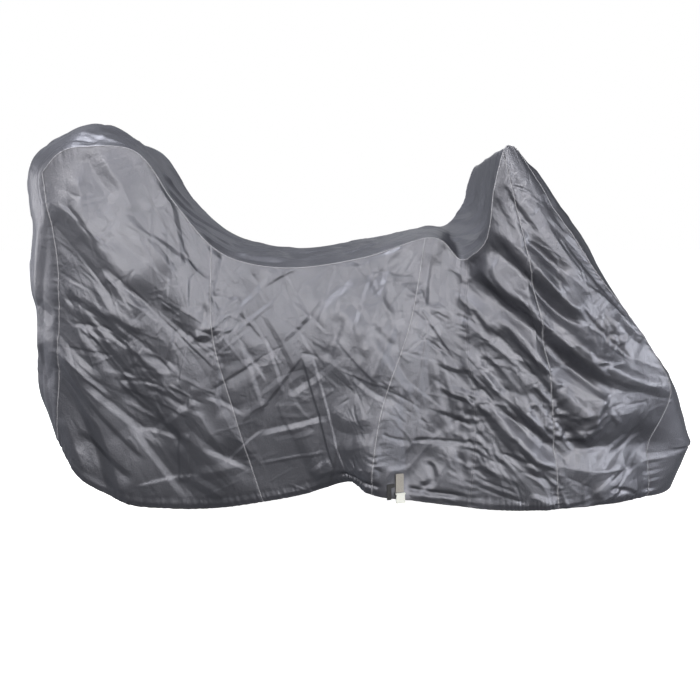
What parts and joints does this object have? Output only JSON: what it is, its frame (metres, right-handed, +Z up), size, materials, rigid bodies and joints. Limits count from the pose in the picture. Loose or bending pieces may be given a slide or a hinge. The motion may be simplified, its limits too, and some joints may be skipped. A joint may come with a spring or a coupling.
{
  "type": "scooter cover",
  "caption": "Fitted weather cover of thin coated cloth with sewn side panels, a centre strip and an elastic hem, draped hollow in the shape of a scooter with a top box.",
  "frame": {"origin": "just under the saddle cloth, on the middle plane of the length, where the saddle carries the cover", "axes": "+X towards the front, +Y towards the side away from the strap, +Z up"},
  "size_m": [2.1301, 0.721, 1.1674],
  "materials": {
    "cover_cloth": "satin coated taffeta",
    "webbing": "matt woven webbing",
    "buckle": "moulded plastic",
    "elastic": "matt woven elastic"
  },
  "bodies": {
    "root": {"near_rear_panel": "cover_cloth", "near_seat_panel": "cover_cloth", "near_leg_panel": "cover_cloth", "near_hood_panel": "cover_cloth", "near_front_panel": "cover_cloth", "far_rear_panel": "cover_cloth", "far_seat_panel": "cover_cloth", "far_leg_panel": "cover_cloth", "far_hood_panel": "cover_cloth", "far_front_panel": "cover_cloth", "strip_rear": "cover_cloth", "strip_saddle": "cover_cloth", "strip_hood": "cover_cloth", "strip_front": "cover_cloth", "strap_webbing": "webbing", "strap_buckle": "buckle", "elastic_tab": "elastic"}
  },
  "joints": []
}
